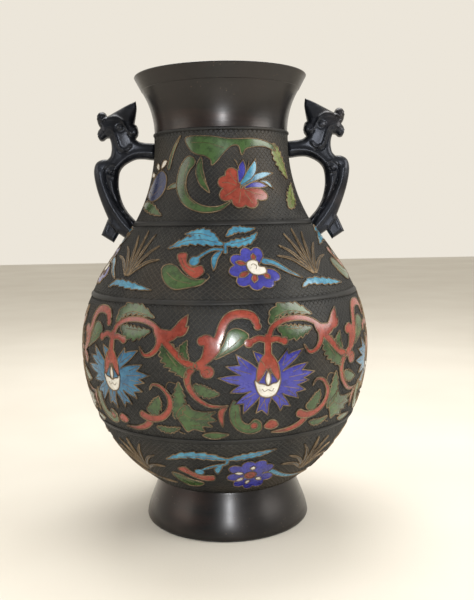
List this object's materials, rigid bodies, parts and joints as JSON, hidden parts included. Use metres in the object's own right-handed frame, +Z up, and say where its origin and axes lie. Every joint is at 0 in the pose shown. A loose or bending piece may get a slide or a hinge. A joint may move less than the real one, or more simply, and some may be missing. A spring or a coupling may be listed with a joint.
{
  "type": "champleve enamel vase",
  "caption": "Bulbous bronze vase with flared collar and foot, two bird-headed C handles, and bands of lotus and scroll ornament inlaid with coloured enamel.",
  "frame": {"origin": "centre of the foot's underside, on the surface the vase stands on", "axes": "+Z up along the vase's axis, front of the vase towards -Y, handles on the X axis"},
  "size_m": [0.1976, 0.1976, 0.305],
  "materials": {
    "base_bronze": "dull dark brown, unpolished",
    "solder": "dull grey soft solder",
    "enamel_cobalt": "opaque glass enamel, glossy, faintly mottled and pitted",
    "enamel_green": "opaque glass enamel, glossy, faintly mottled and pitted",
    "enamel_red": "opaque glass enamel, glossy, faintly mottled and pitted",
    "enamel_teal": "opaque glass enamel, glossy, faintly mottled and pitted",
    "enamel_white": "opaque glass enamel, glossy, faintly mottled and pitted",
    "band_bronze": "dark olive-brown patina, matt chased diaper ground with rubbed golden cell walls",
    "plain_bronze": "dark brown-black semi-gloss patina with red-brown mottling",
    "handle_bronze": "blue-black glossy patina",
    "rivet_bronze": "hammered, dark brown",
    "enamel_olive": "opaque glass enamel, glossy, faintly mottled and pitted",
    "enamel_turquoise": "opaque glass enamel, glossy, faintly mottled and pitted",
    "enamel_lime": "opaque glass enamel, glossy, faintly mottled and pitted",
    "enamel_navy": "opaque glass enamel, glossy, faintly mottled and pitted"
  },
  "bodies": {
    "root": {"base_plate": "base_bronze", "base_solder": "solder", "belly_enamel_cobalt": "enamel_cobalt", "belly_enamel_green": "enamel_green", "belly_enamel_red": "enamel_red", "belly_enamel_teal": "enamel_teal", "belly_enamel_white": "enamel_white", "body_casting": "band_bronze", "foot_ring": "plain_bronze", "handle_left": "handle_bronze", "handle_right": "handle_bronze", "handle_rivets": "rivet_bronze", "lower_enamel_cobalt": "enamel_cobalt", "lower_enamel_green": "enamel_green", "lower_enamel_olive": "enamel_olive", "lower_enamel_red": "enamel_red", "lower_enamel_turquoise": "enamel_turquoise", "lower_enamel_white": "enamel_white", "mouth_collar": "plain_bronze", "neck_casting": "band_bronze", "neck_enamel_cobalt": "enamel_cobalt", "neck_enamel_green": "enamel_green", "neck_enamel_lime": "enamel_lime", "neck_enamel_navy": "enamel_navy", "neck_enamel_red": "enamel_red", "neck_enamel_turquoise": "enamel_turquoise", "neck_enamel_white": "enamel_white", "shoulder_enamel_cobalt": "enamel_cobalt", "shoulder_enamel_green": "enamel_green", "shoulder_enamel_olive": "enamel_olive", "shoulder_enamel_red": "enamel_red", "shoulder_enamel_turquoise": "enamel_turquoise", "shoulder_enamel_white": "enamel_white"}
  },
  "joints": []
}
